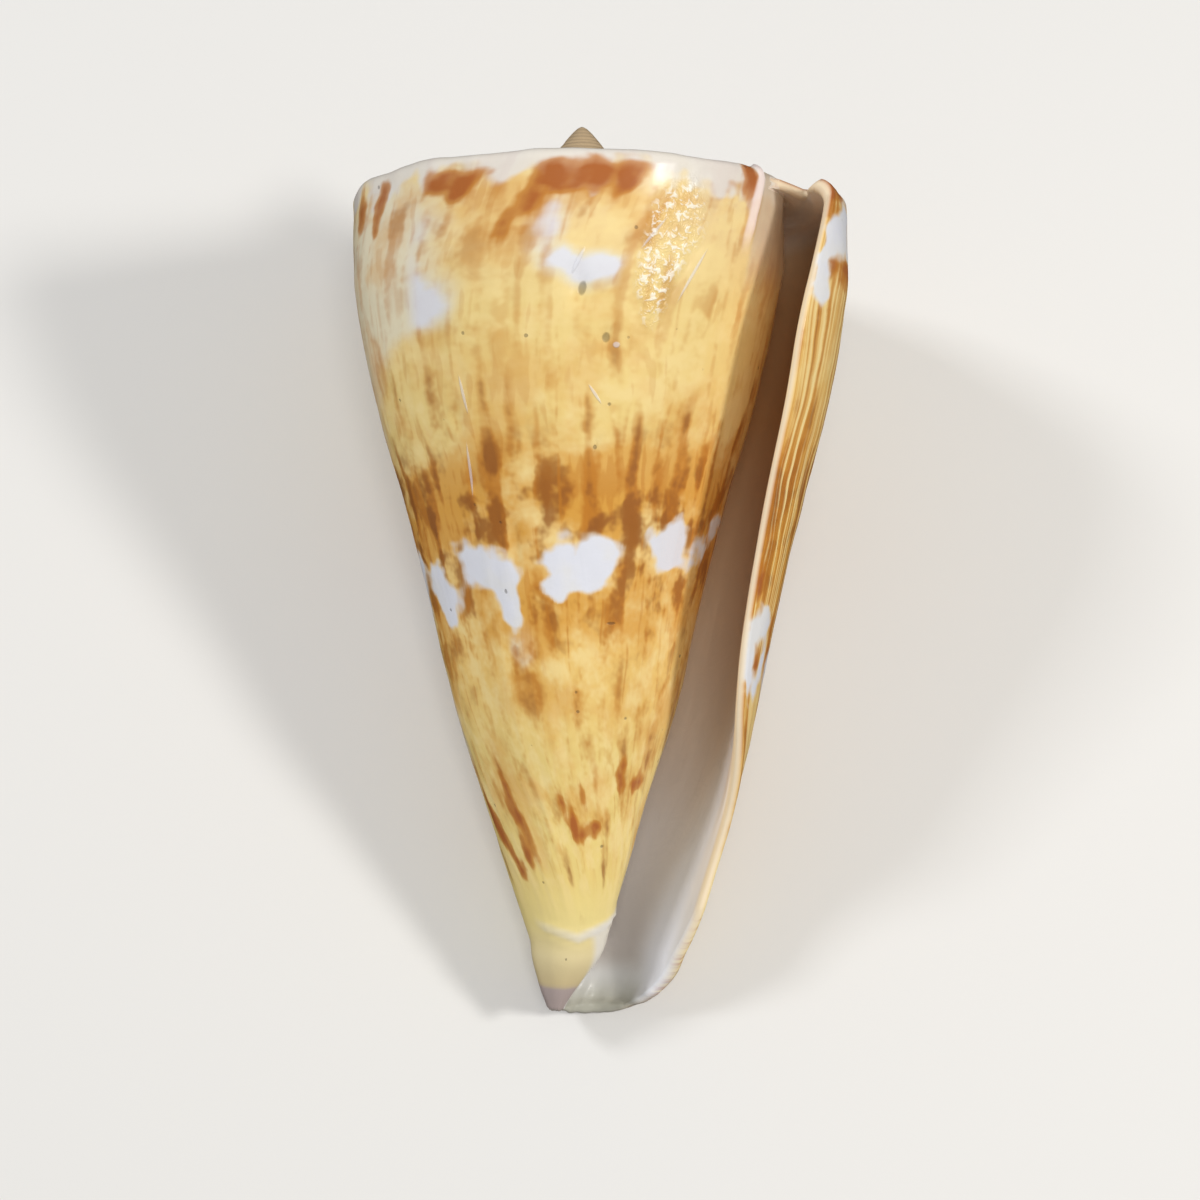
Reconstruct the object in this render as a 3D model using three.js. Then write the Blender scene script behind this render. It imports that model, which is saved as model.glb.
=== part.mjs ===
// An empty cone shell, the coiled shell of a sea snail, lying on its back with its
// long narrow aperture facing up. It grew as one piece, so it is one closed solid.
//
// Units are millimetres. The shell is first made standing on its narrow end: Z runs up
// its coiling axis to the apex, and an angle of 0 points along +X, 90 along +Y (the
// shell's back). Seen from above, angles grow the way the shell gets older, so the lip,
// its youngest edge, is column 0. At the end it is laid down, with its back on Z = 0.
import * as THREE from "three";
import { ParametricGeometry } from "three/addons/geometries/ParametricGeometry.js";
import { mergeGeometries, mergeVertices } from "three/addons/utils/BufferGeometryUtils.js";

// Driving dimensions, in millimetres and degrees.
// The flank at a few heights: [height, radius at angle 0, radius one full turn inward].
const FLANK = [
  [0, 8.5, 0.05],
  [1.2, 9.4, 0.3],
  [3.2, 10.2, 1.0],
  [5.5, 10.5, 2.0],
  [7.2, 11.0, 2.4],
  [11, 12.1, 3.4],
  [16, 13.6, 4.8],
  [21, 15.0, 6.2],
  [31, 17.4, 9.4],
  [41, 19.5, 11.7],
  [51, 21.9, 14.3],
  [61, 24.5, 17.2],
  [71, 26.1, 19.4],
  [76, 26.2, 19.8],
  [81, 26.0, 20.0],
];
// Where the lip's edge runs: [height, angle].
const LIP_EDGE = [
  [10.5, -8],
  [16, -10],
  [21, -15],
  [26, -24],
  [32, -33],
  [40, -37],
  [66, -38.5],
  [74, -35],
  [81, -27],
];
const SHOULDER_HEIGHT = 81;
const SHOULDER_RADIUS = 26;
const WHORL_RATIO = 0.769; // each turn's shoulder against the next younger one's
const CORNER_ROUNDING = 0.05; // the shoulder's edge radius, as a share of its distance from the axis
const CORNER_TURN = 80; // how far round the shoulder's edge turns before the flat ramp starts
const SPIRE_RISE = 4.2; // how far the spire's low cone climbs
const TIP_RISE = 3.3; // and how far its little pointed tip stands above that
const TIP_WIDTH = 2.5;
const TIP_POWER = 1.8; // higher makes the tip's sides steeper and its end rounder
const SPIRE_POWER = 0.85; // below 1 makes the low cone's slope bulge at the shoulder
const RAMP_HOLLOW = 0.03; // depth of the ramp's groove, as a share of the ramp's width
const NOTCH_DEPTH = 14; // how many degrees the lip steps back across the ramp
const LIP_BASE_HEIGHT = 10.5; // where the lip's straight edge turns into the rounded base
const RIM_DROP = 11.7; // how far the rim falls from there
const RIM_QUICKNESS = 0.06; // the fall's length, in turns
const RIM_FLARE = 0.82; // how far the rim turns outward, as the power of e that widens it
const RIM_FLARE_HEIGHT = 2.5; // it fades over this height
const RIM_FLARE_ANGLE = 75; // and it is widest here
const LIP_THICKNESS = 0.9;
const WALL_THICKNESS = 1.8;
const EDGE_ROUNDING = 0.3; // how far an edge bulges, as a share of its width
const WALL_GROWTH = 15; // degrees behind the lip over which the wall thickens
const INNER_FILLET = 1.5;
const COLUMELLA_CORE = 0.35; // the thinnest that the shell's central pillar gets
const COLUMELLA_LEAN = 2.35; // how far the pillar's tip bends aside
const COLUMELLA_BEND_HEIGHT = 7;
const COLUMELLA_BEND_POWER = 1.3;
const COLUMELLA_TIP_HEIGHT = 0.4;
const RIM_END = [0.2, 0.36]; // turns over which the rim rises to the pillar's tip
const CAVITY_AT_BASE = 180; // degrees that the hollow winds inward at the base
const CAVITY_AT_TOP = 330; // and under the shoulder
const CAVITY_FULL_ROWS = 0.7; // share of the flank's rows over which it gets there
const CAVITY_NARROWING = 0.4; // share of the hollow's depth where it starts to close up
const LEAST_GAP = 0.2; // the hollow's least width, as a share of the space between turns
const LYING_TILT = 14.07; // the flank's slope along the back, which lies level
const LYING_ROLL = -3; // turn about the axis that puts a worn facet squarely underneath
const REST_FACET = 0.45; // how much the back is worn flat where it lies

// How finely the surfaces are divided.
const COLUMNS = 48; // per turn
const FLANK_ROWS = 24;
const ROW_CROWDING = 0.6; // how much closer its end rows are
const CORNER_ROWS = 3;
const RAMP_ROWS = 3;
const CAVITY_COLUMNS = COLUMNS / 2;
const SPIRE_TURNS = 4;
const TIP_RINGS = 5;
const RAMP_START = FLANK_ROWS + CORNER_ROWS;
const TOP_ROW = RAMP_START + RAMP_ROWS;
const SUTURE_ROW = FLANK_ROWS + 1; // the row that the next younger turn's ramp is joined to
const CEILING_ROW = FLANK_ROWS - 1; // the row where the hollow's ceiling meets the inner turn
const EDGE_STEPS = SUTURE_ROW - CEILING_ROW; // divisions across the lip's and the rim's edge

const radians = THREE.MathUtils.degToRad;
const { lerp, smoothstep, clamp } = THREE.MathUtils;

// A smooth function through [place, value, ...] points; column picks the value.
function through(points, column) {
  const slope = (k) => {
    const before = points[Math.max(k - 1, 0)];
    const after = points[Math.min(k + 1, points.length - 1)];
    return (after[column] - before[column]) / (after[0] - before[0]);
  };
  return (place) => {
    const at = clamp(place, points[0][0], points[points.length - 1][0]);
    const k = Math.max(points.findIndex((p) => p[0] >= at), 1);
    const [start, end] = [points[k - 1], points[k]];
    const span = end[0] - start[0];
    const t = (at - start[0]) / span;
    const straight = lerp(start[column], end[column], t);
    const rise = (end[column] - start[column]) / span;
    const startBow = (slope(k - 1) - rise) * (1 - t);
    const endBow = (slope(k) - rise) * t;
    return straight + span * t * (1 - t) * (startBow - endBow);
  };
}

const radiusAtStart = through(FLANK, 1);
const radiusOneTurnIn = through(FLANK, 2);
const lipAngle = through(LIP_EDGE, 1);

// A point's place from its distance from the axis, angle and height.
function place(radius, angle, height) {
  const bend = Math.max(1 - height / COLUMELLA_BEND_HEIGHT, 0) ** COLUMELLA_BEND_POWER;
  const aside = COLUMELLA_LEAN * bend * smoothstep(angle, 0, 180);
  return new THREE.Vector3(
    radius * Math.cos(radians(angle)) - aside,
    radius * Math.sin(radians(angle)),
    height,
  );
}

// The flank is a logarithmic spiral at every height.
function flankRadius(angle, height) {
  const start = radiusAtStart(height);
  const radius = start * (radiusOneTurnIn(height) / start) ** (angle / 360);
  return Math.hypot(radius * rimFlare(angle, height), COLUMELLA_CORE);
}

// The base's rim turns outward a little, most of all behind the pillar's tip.
function rimFlare(angle, height) {
  const start = LIP_EDGE[0][1];
  const widening = smoothstep(angle, start, RIM_FLARE_ANGLE);
  const closing = smoothstep(angle, RIM_FLARE_ANGLE, 180);
  const fading = Math.exp(-Math.max(height, 0) / RIM_FLARE_HEIGHT);
  return Math.exp(RIM_FLARE * fading * (widening - closing));
}

function shoulderRadius(angle) {
  return SHOULDER_RADIUS * WHORL_RATIO ** (angle / 360);
}

// How high the spire stands above the lip's shoulder at a distance from the axis.
function spireHeight(radius) {
  const tip = TIP_RISE * Math.exp(-((radius / TIP_WIDTH) ** TIP_POWER));
  return tip + SPIRE_RISE * Math.max(1 - radius / SHOULDER_RADIUS, 0) ** SPIRE_POWER;
}

function cornerRadius(angle) {
  return CORNER_ROUNDING * shoulderRadius(angle);
}

// The height where the flank ends and the shoulder's rounded edge starts.
function flankTop(angle) {
  return SHOULDER_HEIGHT + spireHeight(shoulderRadius(angle)) - cornerRadius(angle);
}

// The shell's lower edge: it sweeps down from the lip's corner and round to the pillar.
function baseHeight(turns) {
  const lowest = LIP_BASE_HEIGHT - RIM_DROP;
  const rim = lowest + RIM_DROP * Math.exp(-turns / RIM_QUICKNESS);
  return lerp(rim, COLUMELLA_TIP_HEIGHT, smoothstep(turns, ...RIM_END));
}

// How far up the flank a row is. Rows are closer together near the base and the shoulder.
function flankShare(row) {
  const share = row / FLANK_ROWS;
  return share - (ROW_CROWDING * Math.sin(2 * Math.PI * share)) / (2 * Math.PI);
}

// The angle of the lip's edge at a row, which all of the row's columns count from.
function startAngle(row) {
  if (row <= FLANK_ROWS) {
    return lipAngle(lerp(LIP_BASE_HEIGHT, SHOULDER_HEIGHT, flankShare(row)));
  }
  const across = Math.max(row - RAMP_START, 0) / RAMP_ROWS;
  return lipAngle(SHOULDER_HEIGHT) + NOTCH_DEPTH * Math.sin(Math.PI * across) ** 2;
}

// The outer surface in one column: { radius, height } at a row.
function outerProfile(angle, row, bottom) {
  const top = flankTop(angle);
  if (row <= FLANK_ROWS) {
    const height = lerp(bottom, top, flankShare(row));
    return { radius: flankRadius(angle, height), height };
  }
  const rounding = cornerRadius(angle);
  const turned = radians(CORNER_TURN) * Math.min((row - FLANK_ROWS) / CORNER_ROWS, 1);
  const edge = {
    radius: flankRadius(angle, top) - rounding * (1 - Math.cos(turned)),
    height: top + rounding * Math.sin(turned),
  };
  if (row <= RAMP_START) return edge;
  const suture = outerProfile(angle + 360, SUTURE_ROW, bottom);
  const across = (row - RAMP_START) / RAMP_ROWS;
  const groove = RAMP_HOLLOW * (edge.radius - suture.radius) * Math.sin(Math.PI * across);
  return {
    radius: lerp(edge.radius, suture.radius, across),
    height: lerp(edge.height, suture.height, across) - groove,
  };
}

// The outer surface, as a point. Turns count inward from the lip.
function outer(turns, row) {
  const angle = startAngle(row) + 360 * turns;
  const { radius, height } = outerProfile(angle, row, baseHeight(turns));
  return place(radius, angle, height);
}

function cavityDepth(row) {
  const share = smoothstep(Math.min(row, CEILING_ROW), 0, CAVITY_FULL_ROWS * FLANK_ROWS);
  return lerp(CAVITY_AT_BASE, CAVITY_AT_TOP, share);
}

// The wall of the inner turn, which the aperture shows: it carries on from the outer
// surface's last column. Depth runs from 0 at the lip to 1 at the hollow's end.
function innerTurn(depth, row) {
  return outer(1 + (depth * cavityDepth(row)) / 360, Math.min(row, CEILING_ROW));
}

// The inside of the outer wall. It closes onto the inner turn at the hollow's end.
function innerWall(depth, row) {
  const onInnerTurn = innerTurn(depth, row);
  if (row === TOP_ROW) return onInnerTurn;
  const turns = (depth * cavityDepth(row)) / 360;
  const angle = startAngle(row) + 360 * turns;
  const thickening = 1 - Math.exp((-360 * turns) / WALL_GROWTH);
  const wall = lerp(LIP_THICKNESS, WALL_THICKNESS, thickening);
  const outside = outerProfile(angle, row, baseHeight(turns));
  const inset = insideProfile(outside, angle, row, baseHeight(turns), wall);
  const point = place(inset.radius, angle, inset.height);
  const closing = smoothstep(depth, CAVITY_NARROWING, 1);
  const openness = Math.sqrt(Math.max(1 - closing ** 2, 0));
  return onInnerTurn.lerp(point, openness);
}

// The outer profile moved in by the wall's thickness, with a rounded inner corner.
function insideProfile(outside, angle, row, bottom, wall) {
  const ceiling = flankTop(angle) + cornerRadius(angle) - wall;
  const filletBase = ceiling - INNER_FILLET;
  if (row <= FLANK_ROWS) {
    const height = lerp(bottom, filletBase, flankShare(row));
    const radius = flankRadius(angle, height);
    const inner = flankRadius(angle + 360, height);
    return { radius: Math.max(radius - wall, lerp(inner, radius, LEAST_GAP)), height };
  }
  const turned = radians(90) * Math.min((row - FLANK_ROWS) / CORNER_ROWS, 1);
  const radius = flankRadius(angle, filletBase) - wall - INNER_FILLET * (1 - Math.cos(turned));
  const height = filletBase + INNER_FILLET * Math.sin(turned);
  if (row <= RAMP_START) return { radius, height };
  const end = outerProfile(angle + 360, CEILING_ROW, bottom);
  const across = (row - RAMP_START) / RAMP_ROWS;
  return { radius: lerp(radius, end.radius, across), height: lerp(height, end.height, across) };
}

// A point across an edge from the inner wall to the outer surface, a little rounded.
function acrossEdge(inside, outside, step, outward) {
  const share = step / EDGE_STEPS;
  const bulge = EDGE_ROUNDING * inside.distanceTo(outside) * Math.sin(Math.PI * share);
  const most = Math.min(bulge, LIP_THICKNESS / 3);
  return inside.clone().lerp(outside, share).addScaledVector(outward, most);
}

const DOWN = new THREE.Vector3(0, 0, -1);

// The lip's edge. Its top end lies along the outer surface's last column.
function lip(step, row) {
  if (row === TOP_ROW) return outer(1, CEILING_ROW + step);
  const angle = radians(startAngle(row));
  const forward = new THREE.Vector3(Math.sin(angle), -Math.cos(angle), 0);
  return acrossEdge(innerWall(0, row), outer(0, row), step, forward);
}

// The rim under the outer wall, from the lip to where the hollow ends.
function rim(column, step) {
  if (column === 0) return lip(step, 0);
  const turns = column / COLUMNS;
  return acrossEdge(innerWall(column / CAVITY_COLUMNS, 0), outer(turns, 0), step, DOWN);
}

// The pillar's tip, between the two sides of the inner turn.
function pillarTip(column, step) {
  if (column === 0) return rim(CAVITY_COLUMNS, step);
  const share = column / CAVITY_COLUMNS;
  const front = outer(0.5 + share / 2, 0);
  return acrossEdge(innerTurn(1 - share, 0), front, step, DOWN);
}

// The edge of the spire's tip: once round the last ramp, then down its end.
function tipEdge(step) {
  if (step <= COLUMNS) return outer(SPIRE_TURNS - 1 + step / COLUMNS, TOP_ROW);
  return outer(SPIRE_TURNS, TOP_ROW - (step - COLUMNS));
}

function spireTip(step, ring) {
  const edge = tipEdge(step);
  const share = 1 - ring / TIP_RINGS;
  if (ring === 0) return edge;
  const radius = Math.hypot(edge.x, edge.y);
  const height = SHOULDER_HEIGHT + spireHeight(radius * share);
  return new THREE.Vector3(edge.x * share, edge.y * share, height);
}

// A patch of quads whose faces point along (across x up).
function patch(across, up, pointAt) {
  const shape = (u, v, target) => target.copy(pointAt(Math.round(u * across), Math.round(v * up)));
  return new ParametricGeometry(shape, across, up);
}

const TIP_STEPS = COLUMNS + TOP_ROW - SUTURE_ROW;
const SPIRE_ROWS = TOP_ROW - SUTURE_ROW;
const SPIRE_COLUMNS = (SPIRE_TURNS - 1) * COLUMNS;
const patches = [
  patch(COLUMNS, TOP_ROW, (i, row) => outer(i / COLUMNS, row)),
  patch(CAVITY_COLUMNS, CEILING_ROW, (i, row) => innerTurn(i / CAVITY_COLUMNS, row)),
  patch(CAVITY_COLUMNS, TOP_ROW, (i, row) => innerWall(1 - i / CAVITY_COLUMNS, row)),
  patch(EDGE_STEPS, TOP_ROW, lip),
  patch(CAVITY_COLUMNS, EDGE_STEPS, rim),
  patch(CAVITY_COLUMNS, EDGE_STEPS, pillarTip),
  patch(SPIRE_COLUMNS, SPIRE_ROWS, (i, row) => outer(1 + i / COLUMNS, SUTURE_ROW + row)),
  patch(TIP_STEPS, TIP_RINGS, spireTip),
];

// Joins the patches along their shared edges and drops the triangles that close to nothing.
function weld(geometries) {
  const joined = mergeGeometries(geometries);
  joined.deleteAttribute("normal");
  joined.deleteAttribute("uv");
  const merged = mergeVertices(joined, 1e-3);
  const index = merged.index.array;
  const kept = [];
  for (let k = 0; k < index.length; k += 3) {
    const [a, b, c] = [index[k], index[k + 1], index[k + 2]];
    if (a !== b && b !== c && c !== a) kept.push(a, b, c);
  }
  return merged.setIndex(kept);
}

// Lays the shell on its back and wears the resting line flat.
function layDown(geometry) {
  geometry.rotateZ(radians(LYING_ROLL));
  geometry.rotateX(radians(LYING_TILT - 90));
  geometry.computeBoundingBox();
  const box = geometry.boundingBox;
  const middle = box.getCenter(new THREE.Vector3());
  geometry.translate(-middle.x, -middle.y, -box.min.z - REST_FACET);
  const points = geometry.attributes.position;
  for (let k = 0; k < points.count; k += 1) points.setZ(k, Math.max(points.getZ(k), 0));
  geometry.computeVertexNormals();
  return geometry;
}

const glossyShell = new THREE.MeshStandardMaterial({
  color: 0xe3b664,
  roughness: 0.3,
  metalness: 0,
});
const coneShell = new THREE.Mesh(layDown(weld(patches)), glossyShell);
coneShell.name = "cone_shell";

const part = new THREE.Group();
part.add(coneShell);

export default part;
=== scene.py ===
"""An empty cone shell lying on its back on a plain pale floor, its long aperture facing up.

The shell is described standing on its narrow end, in millimetres: Z runs up its coiling
axis to the spire, an angle of 0 points along +X and 90 along +Y, the shell's back. Turns
count inward from the lip, the youngest edge, so they also tell how old the shell is there.
RESTING turns a standing point to the shared frame, in metres.
"""

import math

import bmesh
import bpy
from mathutils import Matrix, Vector, noise


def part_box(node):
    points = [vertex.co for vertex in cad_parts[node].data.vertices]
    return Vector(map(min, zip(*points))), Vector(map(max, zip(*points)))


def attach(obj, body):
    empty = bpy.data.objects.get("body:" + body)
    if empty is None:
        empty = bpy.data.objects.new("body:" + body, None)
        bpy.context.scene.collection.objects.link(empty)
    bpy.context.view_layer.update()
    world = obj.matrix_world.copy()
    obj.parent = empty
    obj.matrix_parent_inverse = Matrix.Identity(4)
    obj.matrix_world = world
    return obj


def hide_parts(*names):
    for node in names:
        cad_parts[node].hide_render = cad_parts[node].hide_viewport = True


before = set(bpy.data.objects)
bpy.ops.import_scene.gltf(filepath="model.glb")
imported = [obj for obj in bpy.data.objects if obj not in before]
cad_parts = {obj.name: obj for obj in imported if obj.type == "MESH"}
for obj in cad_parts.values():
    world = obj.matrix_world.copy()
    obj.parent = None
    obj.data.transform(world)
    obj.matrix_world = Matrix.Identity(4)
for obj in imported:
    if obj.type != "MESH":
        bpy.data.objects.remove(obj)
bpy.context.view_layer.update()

# The flank at a few heights: (height, radius at angle 0, radius one full turn inward).
FLANK = [
    (0, 8.5, 0.05),
    (1.2, 9.4, 0.3),
    (3.2, 10.2, 1.0),
    (5.5, 10.5, 2.0),
    (7.2, 11.0, 2.4),
    (11, 12.1, 3.4),
    (16, 13.6, 4.8),
    (21, 15.0, 6.2),
    (31, 17.4, 9.4),
    (41, 19.5, 11.7),
    (51, 21.9, 14.3),
    (61, 24.5, 17.2),
    (71, 26.1, 19.4),
    (76, 26.2, 19.8),
    (81, 26.0, 20.0),
]
# Where the lip's edge runs: (height, angle).
LIP_EDGE = [
    (10.5, -8),
    (16, -10),
    (21, -15),
    (26, -24),
    (32, -33),
    (40, -37),
    (66, -38.5),
    (74, -35),
    (81, -27),
]
SHOULDER_HEIGHT = 81
SHOULDER_RADIUS = 26
WHORL_RATIO = 0.769
CORNER_ROUNDING = 0.05
CORNER_TURN = 80
SPIRE_RISE = 4.2
SPIRE_POWER = 0.85
TIP_RISE = 3.3
TIP_WIDTH = 2.5
TIP_POWER = 1.8
RAMP_HOLLOW = 0.03
NOTCH_DEPTH = 14
LIP_BASE_HEIGHT = 10.5
RIM_DROP = 11.7
RIM_QUICKNESS = 0.06
RIM_END = (0.2, 0.36)
RIM_FLARE = 0.82
RIM_FLARE_HEIGHT = 2.5
RIM_FLARE_ANGLE = 75
LIP_THICKNESS = 0.9
WALL_THICKNESS = 1.8
EDGE_ROUNDING = 0.3
WALL_GROWTH = 15
INNER_FILLET = 1.5
COLUMELLA_CORE = 0.35
COLUMELLA_LEAN = 2.35
COLUMELLA_BEND_HEIGHT = 7
COLUMELLA_BEND_POWER = 1.3
COLUMELLA_TIP_HEIGHT = 0.4
CAVITY_AT_BASE = 180
CAVITY_AT_TOP = 330
CAVITY_FULL_ROWS = 0.7
CAVITY_NARROWING = 0.4
LEAST_GAP = 0.2
LYING_TILT = 14.07
LYING_ROLL = -3
REST_FACET = 0.45

# How finely the surfaces are divided.
COLUMNS = 256
FLANK_ROWS = 128
ROW_CROWDING = 0.6
CORNER_ROWS = 5
RAMP_ROWS = 7
EDGE_STEPS = 4
SPIRE_TURNS = 10
TIP_RINGS = 14
CAVITY_COLUMNS = COLUMNS // 2
RAMP_START = FLANK_ROWS + CORNER_ROWS
TOP_ROW = RAMP_START + RAMP_ROWS
SUTURE_ROW = FLANK_ROWS + EDGE_STEPS // 2
CEILING_ROW = FLANK_ROWS - EDGE_STEPS // 2
SPIRE_ROWS = TOP_ROW - SUTURE_ROW

METRES = 0.001

# Where the glaze starts to cover the inner turn's pattern and where it hides it, in turns
# past the lip.
GLAZE_START = (0.08, 0.2)

# The pattern's fixed patches: (turns, height, half width in turns, half height).
WHITE_BLOTCHES = [
    (0.008, 38.2, 0.010, 2.2),
    (0.028, 38.8, 0.010, 1.3),
    (0.005, 34.4, 0.005, 1.6),
    (0.022, 32.6, 0.012, 1.1),
    (0.040, 35.4, 0.008, 2.0),
    (0.090, 34.6, 0.026, 2.6),
    (0.16, 40.0, 0.03, 2.2),
    (0.185, 38.2, 0.02, 1.8),
    (0.27, 42.5, 0.04, 2.2),
    (0.30, 41.2, 0.03, 1.8),
    (0.37, 41.0, 0.026, 2.2),
    (0.47, 43.0, 0.036, 2.4),
    (0.50, 41.0, 0.02, 2.2),
    (0.56, 42.0, 0.028, 2.2),
    (0.618, 43.4, 0.018, 2.6),
    (0.668, 43.2, 0.014, 1.4),
    (0.688, 41.6, 0.018, 1.3),
    (0.676, 39.8, 0.012, 1.0),
    (0.736, 45.4, 0.020, 1.1),
    (0.754, 44.0, 0.022, 1.3),
    (0.772, 42.4, 0.013, 1.6),
    (0.777, 40.2, 0.010, 1.6),
    (0.834, 44.6, 0.016, 1.6),
    (0.858, 45.0, 0.022, 1.9),
    (0.880, 44.8, 0.017, 1.6),
    (0.866, 42.6, 0.014, 1.1),
    (0.828, 42.4, 0.012, 0.6),
    (0.946, 46.8, 0.018, 0.9),
    (0.970, 47.0, 0.012, 1.5),
    (0.960, 44.8, 0.015, 0.9),
    (1.005, 45.6, 0.014, 1.5),
    (1.050, 48.2, 0.014, 1.1),
    (1.110, 46.0, 0.012, 1.2),
    (0.011, 70.2, 0.010, 1.8),
    (0.107, 68.0, 0.012, 1.4),
    (0.005, 72.8, 0.005, 1.8),
    (0.011, 75.6, 0.009, 1.7),
    (0.034, 76.4, 0.011, 2.2),
    (0.062, 76.6, 0.014, 1.8),
    (0.21, 69.5, 0.03, 2.2),
    (0.36, 71.5, 0.026, 1.6),
    (0.45, 68.5, 0.026, 2.4),
]
DARK_MARKS = [
    (0.612, 20.0, 0.010, 2.2),
    (0.628, 17.4, 0.009, 1.8),
    (0.645, 15.2, 0.014, 0.9),
    (0.690, 21.6, 0.009, 2.2),
    (0.702, 18.4, 0.008, 2.2),
    (0.682, 16.2, 0.010, 1.1),
    (0.794, 21.6, 0.007, 1.4),
    (0.810, 19.4, 0.007, 1.3),
    (0.826, 18.4, 0.009, 0.6),
    (0.848, 19.2, 0.011, 0.6),
    (0.836, 22.4, 0.005, 1.4),
    (0.915, 24.0, 0.008, 1.4),
    (0.960, 23.6, 0.016, 0.7),
    (0.07, 20.0, 0.02, 2.0),
    (0.22, 19.0, 0.024, 1.8),
    (0.36, 20.5, 0.028, 1.8),
    (0.50, 19.5, 0.024, 2.0),
    (0.730, 79.8, 0.011, 0.8),
    (0.750, 79.5, 0.011, 0.7),
    (0.744, 78.3, 0.007, 0.8),
    (0.806, 79.6, 0.010, 1.1),
    (0.822, 79.0, 0.010, 0.9),
    (0.838, 79.6, 0.010, 1.1),
    (0.858, 80.2, 0.014, 0.9),
    (0.866, 78.8, 0.009, 0.9),
    (0.802, 77.0, 0.008, 1.6),
    (0.790, 74.8, 0.006, 1.6),
    (0.668, 78.2, 0.005, 1.9),
    (0.638, 78.4, 0.007, 2.4),
    (0.966, 80.8, 0.006, 1.6),
    (0.006, 79.0, 0.014, 2.4),
    (0.018, 80.6, 0.014, 0.9),
    (0.019, 73.0, 0.008, 1.2),
    (0.055, 72.6, 0.016, 1.2),
    (0.18, 79.0, 0.024, 1.6),
    (0.30, 79.4, 0.02, 1.4),
    (0.41, 79.2, 0.028, 1.6),
    (0.53, 79.4, 0.022, 1.6),
    (0.056, 36.8, 0.010, 2.8),
    (0.019, 35.0, 0.006, 1.6),
    (0.003, 42.5, 0.004, 1.8),
]
CREAM_CLOUDS = [
    (0.61, 66.0, 0.030, 10.0),
    (0.655, 70.0, 0.030, 6.0),
    (0.705, 69.6, 0.040, 3.0),
    (0.70, 76.0, 0.035, 3.0),
    (0.60, 30.0, 0.02, 5.0),
    (0.785, 37.0, 0.014, 1.8),
    (0.854, 71.1, 0.018, 1.2),
    (0.872, 71.6, 0.011, 0.8),
    (0.836, 71.8, 0.011, 0.7),
    (0.733, 68.4, 0.018, 1.5),
    (0.82, 75.0, 0.012, 2.4),
    (0.20, 65.0, 0.05, 7.0),
    (0.42, 62.0, 0.05, 6.0),
    (0.30, 27.0, 0.05, 4.0),
    (0.48, 28.0, 0.04, 4.0),
]
# Where the gloss has broken up into fine roughness, and where pale flecks are painted on as glints of
# light.
WORN_AND_GLINT_PATCHES = [
    (0.912, 76.0, 0.018, 3.2),
    (0.908, 70.6, 0.010, 3.8),
]
# The old growth scars above the pillar's tip: where their V points down, how steeply it
# rises, in mm a turn, where it starts and ends, and each scar's (lowest point, height in mm).
V_MIDDLE = 0.765
V_SLOPE = 9
V_START = (0.6, 0.66)
V_END = (1.0, 1.04)
V_SCARS = [(8.0, 0.3), (6.9, 0.1)]
V_SCAR_WIDTH = 0.35
# The ridges where the glaze ends on the body: (turns, height where one starts, where it is full).
CALLUS_RIDGES = [(0.982, 73, 77), (1.075, 70, 74)]
CALLUS_WIDTH = 0.004
CALLUS_HEIGHT = 0.4
CALLUS_STRAY = (0.004, 0, 0.4, 5)
# The pale line painted along the first ridge: its turns, and the heights where it starts.
CALLUS_LINE = 0.981
CALLUS_LINE_START = (73.0, 77.0)
# The spire's turns are smoother, so that they meet evenly: how much relief they lose, at what
# share of the shoulder's radius, from which turn on, and at what heights in mm.
SPIRE_EVENNESS = 0.9
SUTURE_REACH = (0.79, 0.92)
SPIRE_START = (1, 1.06)
SPIRE_HEIGHTS = (80.4, 81.2)
# Pale raised scratches: (turns, height, half width in turns, half height, lean in turns per mm).
SCRATCHES = [
    (0.848, 71.8, 0.0018, 1.2, 0.002),
    (0.869, 60.0, 0.0016, 0.9, -0.006),
    (0.755, 53.4, 0.0015, 2.6, 0.001),
    (0.762, 60.2, 0.0015, 1.8, -0.001),
    (0.896, 74.5, 0.0016, 1.6, 0.004),
    (0.935, 71.0, 0.0016, 2.6, 0.003),
    (0.884, 64.4, 0.0030, 0.3, 0),
]
# Small chips, with painted shade in their hollows: (turns, height, half width in turns, half height).
CHIPS = [
    (0.8545, 69.3, 0.0032, 0.7),
    (0.876, 65.0, 0.0034, 0.5),
    (0.891, 39.0, 0.0060, 0.15),
    (0.870, 55.2, 0.0020, 0.25),
    (0.772, 42.0, 0.0020, 0.25),
    (0.817, 65.2, 0.0018, 0.2),
    (0.846, 30.6, 0.0026, 0.18),
    (0.693, 13.6, 0.0034, 0.15),
    (0.715, 5.8, 0.0050, 0.15),
    (0.638, 21.0, 0.0026, 0.18),
]
# Chips in the surface: (turns, height, half width in turns, half height, depth).
DENTS = [
    (0.853, 69.2, 0.006, 1.0, 0.55),
    (0.848, 70.6, 0.004, 0.9, 0.3),
    (0.877, 65.0, 0.006, 0.6, 0.4),
    (0.753, 58.5, 0.004, 1.3, 0.3),
    (0.757, 52.5, 0.004, 1.6, 0.22),
    (0.790, 46.6, 0.004, 1.3, 0.22),
    (0.872, 55.3, 0.003, 0.4, 0.35),
    (0.960, 34.2, 0.012, 0.35, 0.2),
]
# The shell's unevenness, in layers: (most height in mm, fineness round it, fineness up it, seed).
BROAD_WAVES = (0.12, 9, 0.03, 7)
LUMPS = (0.10, 26, 0.17, 9)
GROWTH_LINES = (0.04, 75, 0.03, 3)
PIMPLES = (0.05, 60, 0.45, 17)
SHOULDER_WOBBLE = (0.5, 19, 0, 11)
RIM_LUMPS = (0.3, 40, 0.6, 13)
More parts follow.
